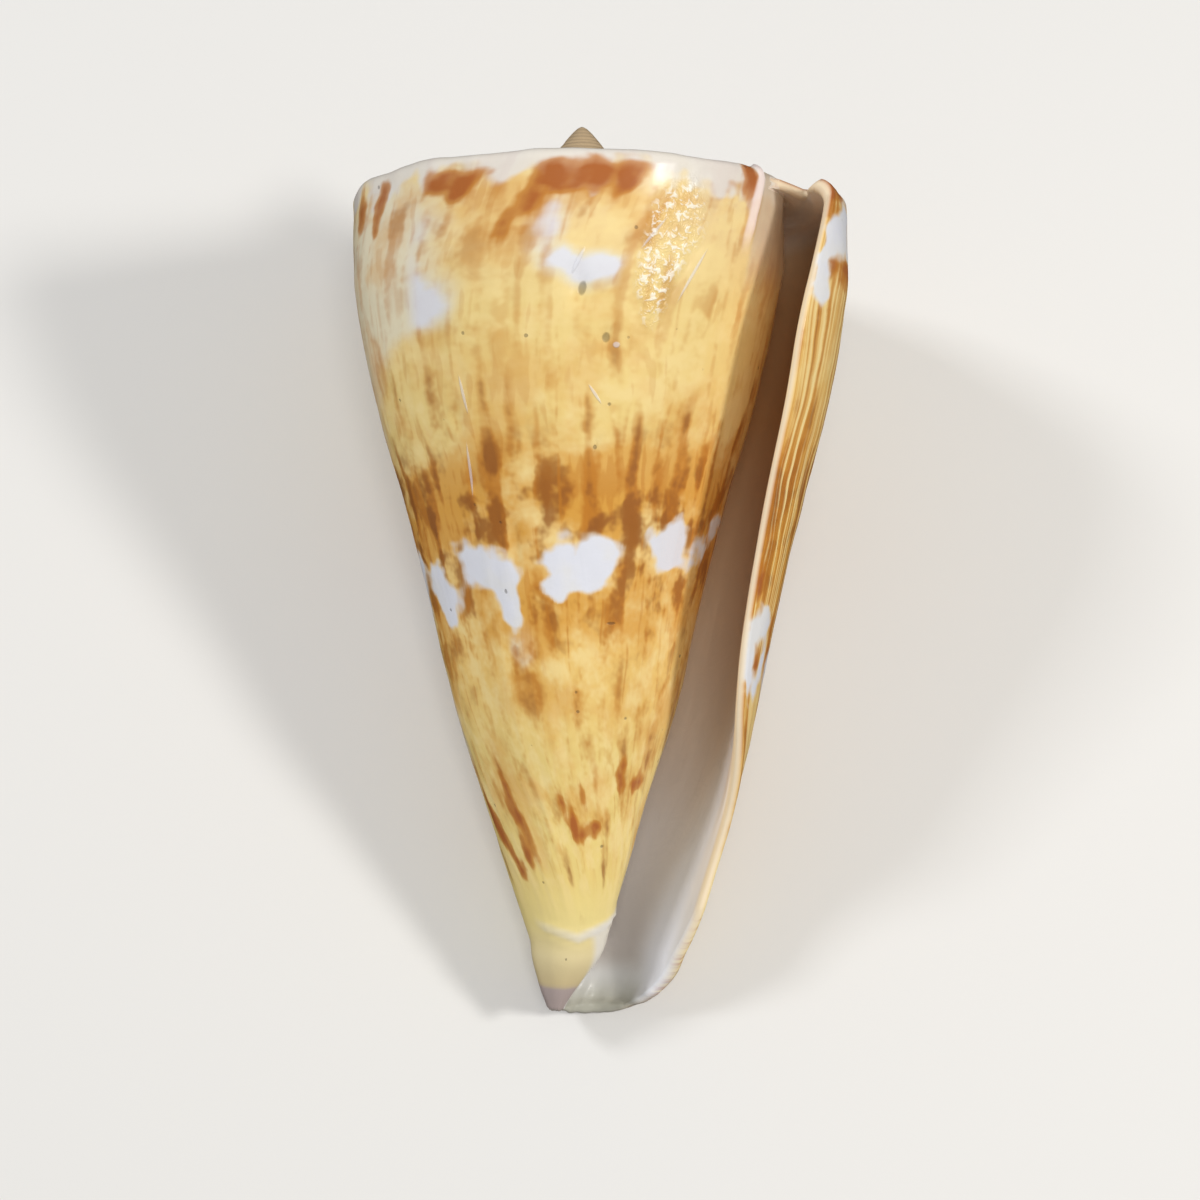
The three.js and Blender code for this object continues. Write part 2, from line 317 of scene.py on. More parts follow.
# Where they act, in mm of height: the wobble's middle and reach, where the smooth base gives
# way to the lumps, and where the rim's lumps end.
WOBBLE_HEIGHT = 80.5
WOBBLE_REACH = 2.2
SMOOTH_BASE = (6, 20)
RIM_LUMPS_END = (0.5, 3.5)
# How far the patches' outlines stray, in layers of the same kind, in turns and in mm.
STRAY_TURNS = [(0.006, 24, 0.3, 21), (0.003, 60, 0.8, 22)]
STRAY_HEIGHT = [(0.6, 24, 0.25, 23), (0.5, 70, 0.6, 24)]


def lerp(start, end, share):
    return start + (end - start) * share


def smoothstep(value, low, high):
    share = min(max((value - low) / (high - low), 0), 1)
    return share * share * (3 - 2 * share)


def through(points, column):
    """A smooth function through the points, from their first number to the column's."""

    def slope(k):
        before = points[max(k - 1, 0)]
        after = points[min(k + 1, len(points) - 1)]
        return (after[column] - before[column]) / (after[0] - before[0])

    def value(place):
        at = min(max(place, points[0][0]), points[-1][0])
        k = 1
        while points[k][0] < at:
            k += 1
        start, end = points[k - 1], points[k]
        span = end[0] - start[0]
        t = (at - start[0]) / span
        rise = (end[column] - start[column]) / span
        start_bow = (slope(k - 1) - rise) * (1 - t)
        end_bow = (slope(k) - rise) * t
        return lerp(start[column], end[column], t) + span * t * (1 - t) * (start_bow - end_bow)

    return value


radius_at_start = through(FLANK, 1)
radius_one_turn_in = through(FLANK, 2)
lip_angle = through(LIP_EDGE, 1)


def place(radius, angle, height):
    """A point from its distance from the axis, angle and height. The pillar's tip bends aside."""
    bend = max(1 - height / COLUMELLA_BEND_HEIGHT, 0) ** COLUMELLA_BEND_POWER
    aside = COLUMELLA_LEAN * bend * smoothstep(angle, 0, 180)
    turned = math.radians(angle)
    return Vector((radius * math.cos(turned) - aside, radius * math.sin(turned), height))


def rim_flare(angle, height):
    """How much the base's rim turns outward, as a factor on its radius."""
    widening = smoothstep(angle, LIP_EDGE[0][1], RIM_FLARE_ANGLE)
    closing = smoothstep(angle, RIM_FLARE_ANGLE, 180)
    fading = math.exp(-max(height, 0) / RIM_FLARE_HEIGHT)
    return math.exp(RIM_FLARE * fading * (widening - closing))


def flank_radius(angle, height):
    """The flank is a logarithmic spiral at every height."""
    start = radius_at_start(height)
    radius = start * (radius_one_turn_in(height) / start) ** (angle / 360)
    return math.hypot(radius * rim_flare(angle, height), COLUMELLA_CORE)


def shoulder_radius(angle):
    return SHOULDER_RADIUS * WHORL_RATIO ** (angle / 360)


def spire_height(radius):
    tip = TIP_RISE * math.exp(-((radius / TIP_WIDTH) ** TIP_POWER))
    return tip + SPIRE_RISE * max(1 - radius / SHOULDER_RADIUS, 0) ** SPIRE_POWER


def corner_radius(angle):
    return CORNER_ROUNDING * shoulder_radius(angle)


def flank_top(angle):
    return SHOULDER_HEIGHT + spire_height(shoulder_radius(angle)) - corner_radius(angle)


def base_height(turns):
    """The shell's lower edge sweeps down from the lip's corner and round to the pillar."""
    lowest = LIP_BASE_HEIGHT - RIM_DROP
    rim = lowest + RIM_DROP * math.exp(-turns / RIM_QUICKNESS)
    return lerp(rim, COLUMELLA_TIP_HEIGHT, smoothstep(turns, *RIM_END))


def flank_share(row):
    """How far up the flank a row is. Rows are closer together near the base and the shoulder."""
    share = row / FLANK_ROWS
    return share - ROW_CROWDING * math.sin(2 * math.pi * share) / (2 * math.pi)


def start_angle(row):
    """The angle of the lip's edge at a row, which all of the row's columns count from."""
    if row <= FLANK_ROWS:
        return lip_angle(lerp(LIP_BASE_HEIGHT, SHOULDER_HEIGHT, flank_share(row)))
    across = max(row - RAMP_START, 0) / RAMP_ROWS
    return lip_angle(SHOULDER_HEIGHT) + NOTCH_DEPTH * math.sin(math.pi * across) ** 2


def outer_profile(angle, row, bottom):
    """The outer surface in one column: (radius, height) at a row."""
    top = flank_top(angle)
    if row <= FLANK_ROWS:
        height = lerp(bottom, top, flank_share(row))
        return flank_radius(angle, height), height
    rounding = corner_radius(angle)
    turned = math.radians(CORNER_TURN) * min((row - FLANK_ROWS) / CORNER_ROWS, 1)
    radius = flank_radius(angle, top) - rounding * (1 - math.cos(turned))
    height = top + rounding * math.sin(turned)
    if row <= RAMP_START:
        return radius, height
    suture_radius, suture_height = outer_profile(angle + 360, SUTURE_ROW, bottom)
    across = (row - RAMP_START) / RAMP_ROWS
    groove = RAMP_HOLLOW * (radius - suture_radius) * math.sin(math.pi * across)
    return lerp(radius, suture_radius, across), lerp(height, suture_height, across) - groove


def outer(turns, row):
    angle = start_angle(row) + 360 * turns
    radius, height = outer_profile(angle, row, base_height(turns))
    return place(radius, angle, height)


def cavity_turns(depth, row):
    """How many turns behind the lip a depth in the hollow is, from 0 at the lip to 1."""
    share = smoothstep(min(row, CEILING_ROW), 0, CAVITY_FULL_ROWS * FLANK_ROWS)
    return depth * lerp(CAVITY_AT_BASE, CAVITY_AT_TOP, share) / 360


def inner_turn(depth, row):
    """The wall of the inner turn, which carries on from the outer surface's last column."""
    return outer(1 + cavity_turns(depth, row), min(row, CEILING_ROW))


def inside_profile(angle, row, bottom, wall):
    """The outer profile moved in by the wall's thickness, with a rounded inner corner."""
    fillet_base = flank_top(angle) + corner_radius(angle) - wall - INNER_FILLET
    if row <= FLANK_ROWS:
        height = lerp(bottom, fillet_base, flank_share(row))
        radius = flank_radius(angle, height)
        least = lerp(flank_radius(angle + 360, height), radius, LEAST_GAP)
        return max(radius - wall, least), height
    turned = math.radians(90) * min((row - FLANK_ROWS) / CORNER_ROWS, 1)
    radius = flank_radius(angle, fillet_base) - wall - INNER_FILLET * (1 - math.cos(turned))
    height = fillet_base + INNER_FILLET * math.sin(turned)
    if row <= RAMP_START:
        return radius, height
    end_radius, end_height = outer_profile(angle + 360, CEILING_ROW, bottom)
    across = (row - RAMP_START) / RAMP_ROWS
    return lerp(radius, end_radius, across), lerp(height, end_height, across)


def inner_wall(depth, row):
    """The inside of the outer wall. It closes onto the inner turn at the hollow's end."""
    on_inner_turn = inner_turn(depth, row)
    if row == TOP_ROW:
        return on_inner_turn
    turns = cavity_turns(depth, row)
    angle = start_angle(row) + 360 * turns
    thickening = 1 - math.exp(-360 * turns / WALL_GROWTH)
    wall = lerp(LIP_THICKNESS, WALL_THICKNESS, thickening)
    radius, height = inside_profile(angle, row, base_height(turns), wall)
    closing = smoothstep(depth, CAVITY_NARROWING, 1)
    openness = math.sqrt(max(1 - closing**2, 0))
    return on_inner_turn.lerp(place(radius, angle, height), openness)


def across_edge(inside, outside, step, outward):
    """A point across an edge from the inner wall to the outer surface, a little rounded."""
    share = step / EDGE_STEPS
    bulge = EDGE_ROUNDING * (inside - outside).length * math.sin(math.pi * share)
    return inside.lerp(outside, share) + outward * min(bulge, LIP_THICKNESS / 3)


def lip(step, row):
    if row == TOP_ROW:
        return outer(1, CEILING_ROW + step)
    angle = math.radians(start_angle(row))
    forward = Vector((math.sin(angle), -math.cos(angle), 0))
    return across_edge(inner_wall(0, row), outer(0, row), step, forward)


def rim(column, step):
    """The rim under the outer wall, from the lip to where the hollow ends."""
    if column == 0:
        return lip(step, 0)
    inside = inner_wall(column / CAVITY_COLUMNS, 0)
    return across_edge(inside, outer(column / COLUMNS, 0), step, Vector((0, 0, -1)))


def pillar_tip(column, step):
    """The pillar's tip, between the two sides of the inner turn."""
    if column == 0:
        return rim(CAVITY_COLUMNS, step)
    share = column / CAVITY_COLUMNS
    return across_edge(inner_turn(1 - share, 0), outer(0.5 + share / 2, 0), step, Vector((0, 0, -1)))


def tip_edge(step):
    """The edge of the spire's tip: once round the last ramp, then down its end."""
    if step <= COLUMNS:
        return outer(SPIRE_TURNS - 1 + step / COLUMNS, TOP_ROW)
    return outer(SPIRE_TURNS, TOP_ROW - (step - COLUMNS))


def spire_tip(step, ring):
    edge = tip_edge(step)
    if ring == 0:
        return edge
    share = 1 - ring / TIP_RINGS
    height = SHOULDER_HEIGHT + spire_height(math.hypot(edge.x, edge.y) * share)
    return Vector((edge.x * share, edge.y * share, height))


def add_patch(mesh, across, up, point_at, facts_at):
    """A grid whose faces point along (across x up). Each vertex keeps facts about its place."""
    grid = bmesh.ops.create_grid(mesh, x_segments=across, y_segments=up, size=1)
    for vertex in grid["verts"]:
        column = round((vertex.co.x + 1) / 2 * across)
        row = round((vertex.co.y + 1) / 2 * up)
        vertex.co = point_at(column, row)
        for name, value in facts_at(column, row).items():
            vertex[mesh.verts.layers.float[name]] = value


# What each vertex keeps: its turns and height, how far it is inside the shell, how squarely
# it is on a thin edge, and how far each kind of painted patch covers it.
FACTS = ("turns", "height", "inside", "edge", "pale", "dark", "soft", "worn")


def edge_facts(turns, step):
    share = step / EDGE_STEPS
    return {"turns": turns, "inside": 1 - share, "edge": math.sin(math.pi * share)}


def inner_turn_facts(turns):
    return {"turns": 1 + turns, "inside": smoothstep(turns, *GLAZE_START)}


def coiled_shell():
    """The whole shell, standing, in millimetres."""
    mesh = bmesh.new()
    for name in FACTS:
        mesh.verts.layers.float.new(name)
    hollow = CAVITY_COLUMNS
    add_patch(
        mesh,
        COLUMNS,
        TOP_ROW,
        lambda i, row: outer(i / COLUMNS, row),
        lambda i, row: {"turns": i / COLUMNS},
    )
    add_patch(mesh, EDGE_STEPS, TOP_ROW, lip, lambda step, row: edge_facts(0, step))
    add_patch(
        mesh,
        COLUMNS * (SPIRE_TURNS - 1),
        SPIRE_ROWS,
        lambda i, row: outer(1 + i / COLUMNS, SUTURE_ROW + row),
        lambda i, row: {"turns": 1 + i / COLUMNS},
    )
    add_patch(
        mesh,
        COLUMNS + SPIRE_ROWS,
        TIP_RINGS,
        spire_tip,
        lambda step, ring: {"turns": SPIRE_TURNS + ring / TIP_RINGS},
    )
    add_patch(
        mesh,
        hollow,
        CEILING_ROW,
        lambda i, row: inner_turn(i / hollow, row),
        lambda i, row: inner_turn_facts(cavity_turns(i / hollow, row)),
    )
    add_patch(
        mesh,
        hollow,
        TOP_ROW,
        lambda i, row: inner_wall(1 - i / hollow, row),
        lambda i, row: {"turns": cavity_turns(1 - i / hollow, row), "inside": 1},
    )
    add_patch(mesh, hollow, EDGE_STEPS, rim, lambda i, step: edge_facts(i / COLUMNS, step))
    add_patch(mesh, hollow, EDGE_STEPS, pillar_tip, lambda i, step: edge_facts(0.5 + i / COLUMNS, step))
    bmesh.ops.remove_doubles(mesh, verts=mesh.verts, dist=0.001)
    bmesh.ops.dissolve_degenerate(mesh, dist=0.0005, edges=mesh.edges)
    return mesh


def covered_share(turns, height, patches):
    """How far the patches cover a place: about 1 at a patch's middle and a half at its edge."""
    total = 0
    for middle, level, half_turns, half_height in patches:
        if abs(turns - middle) < 3 * half_turns and abs(height - level) < 3 * half_height:
            away = ((turns - middle) / half_turns) ** 2 + ((height - level) / half_height) ** 2
            total += 2**-away
    return min(total, 1.2)


def layer(turns, height, kind):
    """One layer of unevenness: a number that wanders smoothly with the place."""
    size, turns_fineness, height_fineness, seed = kind
    return size * noise.noise(Vector((turns * turns_fineness, height * height_fineness, seed)))


def scar_relief(turns, height):
    """The chips, and the old growth scars that end in a shallow V above the pillar's tip."""
    raised = 0
    for middle, level, half_turns, half_height, depth in DENTS:
        away = math.hypot((turns - middle) / half_turns, (height - level) / half_height)
        raised -= depth * math.exp(-away * away)
    reach = smoothstep(turns, *V_START) * (1 - smoothstep(turns, *V_END))
    for level, proud in V_SCARS:
        line = level + V_SLOPE * abs(turns - V_MIDDLE)
        raised += proud * reach * math.exp(-(((height - line) / V_SCAR_WIDTH) ** 2))
    return raised + CALLUS_HEIGHT * callus_ridge(turns, height)


def callus_ridge(turns, height):
    """How near a place is to the middle of a ridge near the top of the opening, from 0 to 1."""
    nearest = 0
    for line, low, high in CALLUS_RIDGES:
        away = (turns - line - layer(0, height, CALLUS_STRAY)) / CALLUS_WIDTH
        nearest += math.exp(-away * away) * smoothstep(height, low, high)
    return nearest


def relief(turns, height, inside):
    """How far the surface stands proud of the smooth coil, in millimetres."""
    broad, lumps = layer(turns, height, BROAD_WAVES), layer(turns, height, LUMPS)
    fine = layer(turns, height, GROWTH_LINES) + layer(turns, height, PIMPLES)
    near_shoulder = math.exp(-(((height - WOBBLE_HEIGHT) / WOBBLE_REACH) ** 2))
    wobble = near_shoulder * layer(turns, 0, SHOULDER_WOBBLE)
    outside = broad + wobble + (lumps + fine) * smoothstep(height, *SMOOTH_BASE)
    outside += scar_relief(turns, height)
    rim_lumps = layer(turns, height, RIM_LUMPS) * (1 - smoothstep(height, *RIM_LUMPS_END))
    glazed = broad * 0.5 + lumps * 0.4 + rim_lumps
    return lerp(outside, glazed, inside)


def kept_relief(turns, height, outward):
    """How much of the relief a place keeps: little on the spire, where turn meets turn."""
    near_suture = 1 - smoothstep(outward, *SUTURE_REACH)
    on_spire = max(near_suture, smoothstep(turns, *SPIRE_START))
    return 1 - SPIRE_EVENNESS * on_spire * smoothstep(height, *SPIRE_HEIGHTS)


def weather(mesh):
    """Records each vertex's height and how far the patches cover it, then adds relief."""
    mesh.normal_update()
    layers = {name: mesh.verts.layers.float[name] for name in FACTS}
    patches = {"pale": WHITE_BLOTCHES, "dark": DARK_MARKS, "soft": CREAM_CLOUDS, "worn": WORN_AND_GLINT_PATCHES}
    moves = []
    for vertex in mesh.verts:
        turns, height = vertex[layers["turns"]], vertex.co.z
        vertex[layers["height"]] = height
        strayed_turns = turns + sum(layer(turns, height, kind) for kind in STRAY_TURNS)
        strayed_height = height + sum(layer(turns, height, kind) for kind in STRAY_HEIGHT)
        for name, places in patches.items():
            vertex[layers[name]] = covered_share(strayed_turns, strayed_height, places)
        outward = math.hypot(vertex.co.x, vertex.co.y) / shoulder_radius(360 * turns)
        kept = kept_relief(turns, height, outward)
        moves.append(vertex.normal * kept * relief(turns, height, vertex[layers["inside"]]))
    for vertex, move in zip(mesh.verts, moves):
        vertex.co += move


ROLLED = Matrix.Rotation(math.radians(LYING_ROLL), 4, "Z")
LAID = Matrix.Rotation(math.radians(LYING_TILT - 90), 4, "X") @ ROLLED


def resting_place(mesh):
    """The transform that lays the standing shell in the middle of its box, on its worn back."""
    turned = [LAID @ vertex.co for vertex in mesh.verts]
    low = Vector(min(point[k] for point in turned) for k in range(3))
    high = Vector(max(point[k] for point in turned) for k in range(3))
    box_low, box_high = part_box("cone_shell")
    shift = (box_low + box_high) / 2 / METRES - (low + high) / 2
    shift.z = -low.z - REST_FACET
    return Matrix.Scale(METRES, 4) @ Matrix.Translation(shift) @ LAID


shell_mesh = coiled_shell()
weather(shell_mesh)
RESTING = resting_place(shell_mesh)
shell_mesh.transform(RESTING)
for vertex in shell_mesh.verts:
    vertex.co.z = max(vertex.co.z, 0)
for face in shell_mesh.faces:
    face.smooth = True

shell_data = bpy.data.meshes.new("cone_shell_surface")
shell_mesh.to_mesh(shell_data)
shell_mesh.free()
shell = bpy.data.objects.new("cone_shell_surface", shell_data)
bpy.context.scene.collection.objects.link(shell)
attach(shell, "root")
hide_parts("cone_shell")


class Socket:
    """A node's output, with arithmetic that adds Math nodes."""

    def __init__(self, paint, output):
        self.paint = paint
        self.output = output

    def __add__(self, other):
        return self.paint.math("ADD", self, other)

    __radd__ = __add__

    def __sub__(self, other):
        return self.paint.math("SUBTRACT", self, other)

    def __rsub__(self, other):
        return self.paint.math("SUBTRACT", other, self)

    def __mul__(self, other):
        return self.paint.math("MULTIPLY", self, other)

    __rmul__ = __mul__

    def __abs__(self):
        return self.paint.math("ABSOLUTE", self)


class Paint:
    """A material and the nodes added to it."""

    def __init__(self, name):
        self.material = bpy.data.materials.new(name)
        self.material.use_nodes = True
        self.tree = self.material.node_tree
        self.surface = self.tree.nodes["Principled BSDF"]

    def set_socket(self, node, key, value):
        if isinstance(value, Socket):
            self.tree.links.new(value.output, node.inputs[key])
        else:
            node.inputs[key].default_value = value

    def node(self, kind, settings, sockets, output=0):
        """Adds a node, gives it its settings and then its sockets, and returns one output."""
        node = self.tree.nodes.new(kind)
        for name, value in settings.items():
            if name == "stops":
                self.set_stops(node.color_ramp, value)
            else:
                setattr(node, name, value)
        for key, value in sockets.items():
            self.set_socket(node, key, value)
        return Socket(self, node.outputs[output])

    def set_stops(self, ramp, stops):
        while len(ramp.elements) < len(stops):
            ramp.elements.new(1)
        for element, (position, colour) in zip(ramp.elements, stops):
            element.position = position
            element.color = (*colour, 1)

    def math(self, operation, first, second=0.0):
        return self.node("ShaderNodeMath", {"operation": operation}, {0: first, 1: second})

    def fact(self, name):
        """A number kept on the mesh's vertices."""
        settings = {"attribute_type": "GEOMETRY", "attribute_name": name}
        return self.node("ShaderNodeAttribute", settings, {}, "Fac")

    def vector(self, x, y, z):
        return self.node("ShaderNodeCombineXYZ", {}, {"X": x, "Y": y, "Z": z})

    def place(self):
        """Where a point is in the row frame, in metres."""
        return self.node("ShaderNodeTexCoord", {}, {}, "Object")

    def noise(self, place, detail=2.0, roughness=0.5, distortion=0.0, scale=1.0):
        sockets = {"Vector": place, "Scale": scale, "Detail": detail}
        sockets.update({"Roughness": roughness, "Distortion": distortion})
        return self.node("ShaderNodeTexNoise", {}, sockets, "Fac")

    def step(self, value, low, high, start=0.0, end=1.0):
        """Goes smoothly from start to end as the value goes from low to high."""
        settings = {"interpolation_type": "SMOOTHSTEP"}
        sockets = {"Value": value, "From Min": low, "From Max": high, "To Min": start, "To Max": end}
        return self.node("ShaderNodeMapRange", settings, sockets)

    def mix(self, share, first, second):
        """One colour blended into another."""
        return self.node("ShaderNodeMix", {"data_type": "RGBA"}, {0: share, 6: first, 7: second}, 2)

    def by_height(self, height, stops):
        """A colour that follows the height, from (height, colour) stops."""
        placed = [(level / TALLEST, colour) for level, colour in stops]
        return self.node("ShaderNodeValToRGB", {"stops": placed}, {"Fac": height * (1 / TALLEST)})

    def grey_by_height(self, height, stops):
        """A number that follows the height, from (height, number) stops."""
        return self.by_height(height, [(level, (value,) * 3) for level, value in stops])


# Higher than any point of the shell, in mm, so that every ramp by height spans all of it.
TALLEST = 90
# The spire's tip: the heights where its beige starts and is full, and how close its threads are.
SPIRE_TIP_START = (83.6, 84.6)
SPIRE_THREADS = 16.0

# The colours of the shell.
WHITE = (0.70, 0.71, 0.77, 1)
CREAM = (0.74, 0.70, 0.56, 1)
PALE_GOLD = (0.84, 0.66, 0.30, 1)
LIP_CREAM = (0.84, 0.70, 0.50, 1)
GOLD = (0.66, 0.33, 0.055, 1)
AMBER = (0.50, 0.185, 0.020, 1)
BROWN = (0.29, 0.10, 0.020, 1)
RED_BROWN = (0.39, 0.115, 0.026, 1)
GLAZE = (0.56, 0.45, 0.33, 1)
CALLUS = (0.86, 0.72, 0.68, 1)
# Painted glint: pale flecks that stand in for the sparkle of light on the rough patch.
PAINTED_GLINT = (0.95, 0.93, 0.84, 1)
BLUISH = (0.88, 0.89, 0.95, 1)
OLD_WHITE = (0.72, 0.69, 0.65, 1)
BEIGE = (0.50, 0.37, 0.22, 1)
# Brown for the spire tip's threads, also used as painted shade deep in the inner wall.
THREAD_AND_SHADE = (0.30, 0.21, 0.13, 1)
# Painted shade in the hollows of the pits and chips.
HOLLOW_SHADE = (0.06, 0.045, 0.03, 1)
# What changes up the shell, at a few heights in mm: the ground's colour, how strong the
# streaks are, how strong the brown bands are, and the inner wall's colour.
GROUND = [
    (0, (0.36, 0.29, 0.27)),
    (2.5, (0.42, 0.34, 0.32)),
    (2.9, (0.60, 0.48, 0.26)),
    (6, (0.74, 0.62, 0.34)),
    (9.5, (0.78, 0.64, 0.26)),
    (14, (0.80, 0.62, 0.22)),
    (26, (0.78, 0.59, 0.21)),
    (36, (0.77, 0.50, 0.15)),
    (46, (0.78, 0.51, 0.18)),
    (52, (0.78, 0.54, 0.20)),
    (58, (0.79, 0.59, 0.22)),
    (68, (0.79, 0.60, 0.24)),
    (76, (0.78, 0.58, 0.28)),
    (81, (0.76, 0.62, 0.38)),
]
STREAKINESS = [
    (12, 0.0),
    (17, 0.4),
    (23, 0.55),
    (29, 0.45),
    (35, 0.7),
    (40, 0.9),
    (44, 0.85),
    (50, 1.0),
    (55, 0.75),
    (60, 0.40),
    (70, 0.36),
    (77, 0.5),
    (80, 0.6),
]
BROWN_BANDS = [
    (14, 0.0),
    (20, 0.3),
    (26, 0.1),
    (33, 0.25),
    (39, 0.6),
    (43, 0.85),
    (48, 1.0),
    (52, 0.95),
    (57, 0.25),
    (64, 0.05),
    (72, 0.12),
    (78, 0.35),
    (81, 0.3),
]
# The inner wall's warm brown, from about 28 to 77 mm up, is painted light: it stands in for light
# shining through the patterned wall onto a paler inside.
INNER_WALL = [
    (0, (0.42, 0.41, 0.34)),
    (2.5, (0.60, 0.59, 0.56)),
    (6, (0.72, 0.70, 0.69)),
    (18, (0.90, 0.84, 0.79)),
    (28, (0.94, 0.78, 0.62)),
    (42, (0.93, 0.69, 0.46)),
    (60, (0.86, 0.50, 0.22)),
    (72, (0.88, 0.54, 0.26)),
    (77, (0.90, 0.62, 0.36)),
    (80, (0.97, 0.90, 0.80)),
]


class Growth:
    """What the shell's colours share: each point's place on the coil, noise that follows how
    the shell grew, and shares for its newest, streaky, banded and marked parts.
    """

    def __init__(self, paint):
        self.paint = paint
        self.turns, self.height = paint.fact("turns"), paint.fact("height")
        self.wavy = self.turns + (self.clouds(14, 0.09, 1, 2.0) - 0.5) * 0.016
        high_up = paint.step(self.height, 24.0, 46.0)
        close_strokes = self.streaks(56, 0.09, 2, 1.0)
        wide_strokes = self.streaks(34, 0.09, 9, 1.0)
        self.strokes = close_strokes * high_up + wide_strokes * (1.0 - high_up)
        self.wisps = self.streaks(110, 0.20, 3, 1.0)
        self.cloud = self.clouds(12, 0.12, 4, 4.0, 0.6)
        self.mottle = self.streaks(26, 0.24, 5, 3.0, 0.62)
        self.ragged = self.streaks(26, 0.34, 6, 2.0) - 0.5
        self.newest = paint.step(self.turns, 0.1, 0.2, 1.0, 0.0)
        self.streaky = paint.grey_by_height(self.height, STREAKINESS) + self.newest * 0.15
        self.banded = paint.grey_by_height(self.height, BROWN_BANDS)
        self.marked = paint.step(self.height, 8.0, 16.0)

    def clouds(self, turns_fineness, height_fineness, seed, detail, roughness=0.5):
        """Noise that follows the coil."""
        across, up = self.turns * turns_fineness, self.height * height_fineness
        return self.paint.noise(self.paint.vector(across, up, seed), detail, roughness)

    def streaks(self, turns_fineness, height_fineness, seed, detail, roughness=0.5):
        """Noise that follows the slightly wavy lines of growth."""
        across, up = self.wavy * turns_fineness, self.height * height_fineness
        return self.paint.noise(self.paint.vector(across, up, seed), detail, roughness)


def cream_clouds(paint, growth, colour):
    clouded = paint.step(paint.fact("soft") + growth.ragged * 0.6, 0.15, 0.8, 0.0, 0.75)
    return paint.mix(clouded * growth.marked, colour, CREAM)


def white_cores(paint, growth, colour):
    """The white cores of the cream clouds that lie high up on the side that shows."""
    core = paint.step(paint.fact("soft") + growth.ragged * 0.8, 0.6, 1.1, 0.0, 0.9)
    showing = paint.step(growth.height, 60.0, 66.0) * paint.step(growth.turns, 0.71, 0.73)
    return paint.mix(core * showing, colour, WHITE)


def growth_streaks(paint, growth, colour):
    """Golden to brown streaks along the growth, thickest in the brown bands."""
    strokes, mottle, banded, streaky = growth.strokes, growth.mottle, growth.banded, growth.streaky
    clouding, mottling = (growth.cloud - 0.5) * 0.6, (mottle - 0.5) * 0.4
    golden = paint.step(growth.cloud + banded * 0.14 + growth.newest * 0.2, 0.46, 0.66)
    colour = paint.mix(golden * streaky, colour, GOLD)
    thick = paint.step(strokes + banded * 0.08 + clouding + mottling, 0.54, 0.70)
    colour = paint.mix(thick * streaky * 0.95, colour, AMBER)
    thickest = paint.step(strokes + clouding + mottling, 0.64, 0.78) * growth.marked
    below = paint.step(growth.height, 58.0, 70.0, 0.75, 0.0)
    colour = paint.mix(thickest * below, colour, BROWN)
    thin = paint.step(growth.wisps + clouding, 0.57, 0.68)
    above = paint.step(growth.height, 22.0, 50.0)
    colour = paint.mix(thin * above * streaky * 0.5, colour, AMBER)
    patchy = paint.step(mottle + (strokes - 0.5) * 0.5 + banded * 0.10, 0.55, 0.72)
    colour = paint.mix(patchy * banded * 0.85, colour, BROWN)
    vein = growth.streaks(34, 0.03, 7, 1.0)
    line = paint.step(abs(vein - 0.5), 0.0, 0.05, 1.0, 0.0) * paint.step(mottle, 0.46, 0.60)
    return paint.mix(line * streaky * 0.7, colour, AMBER)


def newest_stripes(paint, growth, colour):
    """The close stripes on the newest part, behind the lip."""
    newest = growth.newest
    stripe = growth.streaks(170, 0.016, 8, 2.0, 0.6)
    colour = paint.mix(paint.step(stripe, 0.38, 0.52, 0.9, 0.0) * newest, colour, PALE_GOLD)
    colour = paint.mix(paint.step(stripe, 0.48, 0.60) * newest * 0.65, colour, AMBER)
    darkest = paint.step(stripe + growth.banded * 0.04, 0.60, 0.72)
    return paint.mix(darkest * newest * 0.75, colour, BROWN)


def shoulder_and_marks(paint, growth, colour):
    """The old white of the shoulder and the spire, and the red-brown marks."""
    strokes, mottling = growth.strokes - 0.5, growth.mottle - 0.5
    shoulder = paint.step(growth.height + growth.ragged * 7.0 + strokes * 6.0, 78.6, 80.4)
    colour = paint.mix(shoulder * 0.85, colour, OLD_WHITE)
    dark = paint.fact("dark")
    blurred = (growth.ragged * 1.6 + strokes + mottling) * paint.step(dark, 0.02, 0.3)
    colour = paint.mix(paint.step(dark + blurred, 0.1, 0.55, 0.0, 0.8), colour, AMBER)
    uneven = paint.step(growth.strokes + mottling * 0.8, 0.32, 0.56, 0.5, 0.95)
    return paint.mix(paint.step(dark + blurred, 0.36, 1.05) * uneven, colour, RED_BROWN)


def white_blotches(paint, growth, colour):
    pale = paint.fact("pale")
    torn = (growth.ragged * 1.7 + (growth.strokes - 0.5) * 0.8) * paint.step(pale, 0.05, 0.3)
    colour = paint.mix(paint.step(pale + torn, 0.16, 0.5, 0.0, 0.35), colour, PALE_GOLD)
    tinted = paint.mix(paint.step(growth.cloud, 0.42, 0.62, 0.0, 0.3), WHITE, CREAM)
    return paint.mix(paint.step(pale + torn, 0.25, 0.72), colour, tinted)


def growth_colours(paint, growth):
    """The outside's pattern, from the ground's colour to the white blotches over it."""
    colour = paint.by_height(growth.height, GROUND)
    light = paint.step(growth.mottle + (growth.strokes - 0.5) * 0.3, 0.36, 0.56, 0.7, 0.0)
    colour = paint.mix(light * growth.marked, colour, PALE_GOLD)
    for add in (cream_clouds, growth_streaks, newest_stripes, shoulder_and_marks):
        colour = add(paint, growth, colour)
    return white_cores(paint, growth, white_blotches(paint, growth, colour))


